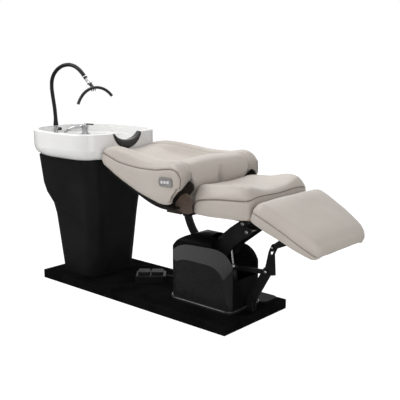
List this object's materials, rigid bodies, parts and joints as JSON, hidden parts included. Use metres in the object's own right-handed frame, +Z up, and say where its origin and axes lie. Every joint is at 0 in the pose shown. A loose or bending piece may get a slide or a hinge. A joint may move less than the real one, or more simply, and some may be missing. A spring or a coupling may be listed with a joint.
{
  "type": "hair washing bed",
  "caption": "Hair washing bed: ceramic basin with neck rest and gooseneck shower on a pedestal, reclining padded bed with folding legrest on a powered lift, all on a base plate.",
  "frame": {"origin": "centre of the base plate's underside, on the floor", "axes": "+X toward the feet, +Y to the side away from the control panel, +Z up"},
  "size_m": [1.9277, 0.6046, 1.1859],
  "materials": {
    "satin_black": "satin black powder coat on steel",
    "black_shell": "finely grained black plastic",
    "black_fitting": "smooth satin-gloss black",
    "black_rubber": "matt black rubber sleeve",
    "black_gel": "soft matt black gel",
    "ceramic": "white glazed ceramic",
    "chrome": "polished chrome",
    "steel": "ground bright steel",
    "dark_steel": "dark nickel plated steel",
    "braided_steel": "braided stainless hose",
    "actuator_black": "semi-gloss black",
    "grey_plastic": "satin warm grey",
    "light_plastic": "light grey buttons",
    "plywood": "plain plywood",
    "beige_leather": "smooth light greige leather",
    "brown_flap": "dark brown leather cloth"
  },
  "bodies": {
    "base": {"base_plate": "satin_black", "base_underplate": "satin_black", "end_cover": "satin_black", "pedestal_shell": "black_shell", "pedestal_service_panel": "black_shell", "pedestal_frame": "satin_black", "frame_bolts": "steel", "basin": "ceramic", "neck_rest": "black_gel", "drain_strainer": "chrome", "waste_trap": "grey_plastic", "supply_hoses": "braided_steel", "gooseneck_foot": "black_fitting", "gooseneck_hose": "black_rubber", "hose_clip": "chrome", "shower_ball": "black_fitting", "faucet_body": "black_fitting", "lift_frame": "satin_black", "guide_tracks": "satin_black", "cover_near_shell": "black_shell", "cover_far_shell": "black_shell", "cover_hood": "black_shell", "cover_flange": "black_shell", "leg_foot_bracket": "satin_black", "leg_cylinder": "actuator_black", "foot_switch_case": "black_fitting", "foot_switch_cable": "black_rubber"},
    "shower_head": {"shower_arc": "black_fitting"},
    "shower_valve": {"valve_knob": "black_fitting"},
    "mixer_lever": {"mixer_lever": "chrome"},
    "hand_shower": {"hand_shower": "black_fitting"},
    "lift_arms": {"lift_arms": "satin_black", "arm_tie_bolt": "dark_steel"},
    "lift_cylinder": {"lift_cylinder": "actuator_black"},
    "lift_rod": {"lift_rod": "steel"},
    "seat": {"seat_frame": "satin_black", "seat_pivot_bolt": "dark_steel", "guide_arm": "satin_black", "seat_board": "plywood", "seat_cushion": "beige_leather", "seat_gusset": "brown_flap", "rest_blocks": "brown_flap"},
    "backrest": {"back_shell": "black_shell", "back_cushion": "beige_leather", "lumbar_roll": "beige_leather", "near_wing": "beige_leather", "far_wing": "beige_leather", "hinge_covers": "black_shell", "control_bezel": "grey_plastic"},
    "rear_button": {"rear_button": "light_plastic"},
    "middle_button": {"middle_button": "light_plastic"},
    "front_button": {"front_button": "light_plastic"},
    "legrest": {"legrest_board": "plywood", "legrest_cushion": "beige_leather", "legrest_bracket": "satin_black"},
    "leg_link": {"leg_link": "satin_black"},
    "drive_link": {"drive_link": "satin_black"},
    "leg_rod": {"leg_rod": "steel"},
    "up_pedal": {"up_pedal": "black_fitting"},
    "down_pedal": {"down_pedal": "black_fitting"}
  },
  "joints": [
    {"name": "lift", "type": "hinge", "parent": "base", "child": "lift_arms", "pos_m": [0.389, 0, 0.286], "axis": [0, 1, 0], "range_deg": [0, 18]},
    {"name": "seat_level", "type": "hinge", "parent": "lift_arms", "child": "seat", "pos_m": [0.605, 0, 0.471], "axis": [0, 1, 0], "range_deg": [-18.5, 0]},
    {"name": "lift_cylinder_swing", "type": "hinge", "parent": "base", "child": "lift_cylinder", "pos_m": [0.517, 0.016, 0.105], "axis": [0, 1, 0], "range_deg": [-1, 8]},
    {"name": "lift_rod_slide", "type": "slide", "parent": "lift_cylinder", "child": "lift_rod", "axis": [-0.156, 0, 0.9878], "range_m": [-0.037, 0.001]},
    {"name": "legrest_fold", "type": "hinge", "parent": "seat", "child": "legrest", "pos_m": [0.772, 0, 0.545], "axis": [0, 1, 0], "range_deg": [0, 43.8]},
    {"name": "leg_link_swing", "type": "hinge", "parent": "base", "child": "leg_link", "pos_m": [0.622, 0, 0.1], "axis": [0, 1, 0], "range_deg": [-11, 0]},
    {"name": "drive_link_turn", "type": "hinge", "parent": "leg_link", "child": "drive_link", "pos_m": [0.71, -0.009, 0.255], "axis": [0, 1, 0], "range_deg": [0, 7.5]},
    {"name": "leg_rod_slide", "type": "slide", "parent": "base", "child": "leg_rod", "axis": [1, 0, 0], "range_m": [-0.03, 0]},
    {"name": "backrest_recline", "type": "hinge", "parent": "seat", "child": "backrest", "pos_m": [0.41, 0, 0.612], "axis": [0, 1, 0], "range_deg": [0, 50]},
    {"name": "shower_swivel", "type": "hinge", "parent": "base", "child": "shower_head", "pos_m": [-0.42623, -0.06, 1.0802], "axis": [0.7547, 0, -0.6561], "range_deg": [-60, 60]},
    {"name": "shower_valve_turn", "type": "hinge", "parent": "base", "child": "shower_valve", "pos_m": [-0.7, -0.06, 0.82], "axis": [1, 0, 0], "range_deg": [0, 90]},
    {"name": "mixer_lever_turn", "type": "hinge", "parent": "base", "child": "mixer_lever", "pos_m": [-0.596, 0.04, 0.845], "axis": [0, 0, 1], "range_deg": [-45, 45]},
    {"name": "hand_shower_lift", "type": "slide", "parent": "base", "child": "hand_shower", "axis": [0, 0, 1], "range_m": [0, 0.04]},
    {"name": "rear_button_press", "type": "slide", "parent": "backrest", "child": "rear_button", "axis": [0.1752, 0.9845, 0], "range_m": [0, 0.0014], "stiffness_N_per_m": 700},
    {"name": "middle_button_press", "type": "slide", "parent": "backrest", "child": "middle_button", "axis": [0.1752, 0.9845, 0], "range_m": [0, 0.0014], "stiffness_N_per_m": 700},
    {"name": "front_button_press", "type": "slide", "parent": "backrest", "child": "front_button", "axis": [0.1752, 0.9845, 0], "range_m": [0, 0.0014], "stiffness_N_per_m": 700},
    {"name": "up_pedal_press", "type": "hinge", "parent": "base", "child": "up_pedal", "pos_m": [-0.1055, 0.0134, 0.0935], "axis": [0.7547, 0.6561, 0], "range_deg": [0, 3.4], "stiffness_Nm_per_rad": 12, "springref_deg": -2.86},
    {"name": "down_pedal_press", "type": "hinge", "parent": "base", "child": "down_pedal", "pos_m": [-0.05267, 0.05932, 0.0935], "axis": [0.7547, 0.6561, 0], "range_deg": [0, 3.4], "stiffness_Nm_per_rad": 12, "springref_deg": -2.86}
  ],
  "couplings": [
    {"joint": "seat_level", "follows": "lift", "ratio": -1},
    {"joint": "lift_cylinder_swing", "follows": "lift", "ratio": 0.23763},
    {"joint": "lift_rod_slide", "follows": "lift", "m_per_rad": -0.10404},
    {"joint": "legrest_fold", "follows": "lift", "ratio": 2.4},
    {"joint": "leg_link_swing", "follows": "lift", "ratio": -0.58},
    {"joint": "drive_link_turn", "follows": "lift", "ratio": 0.384},
    {"joint": "leg_rod_slide", "follows": "lift", "m_per_rad": -0.0933}
  ]
}
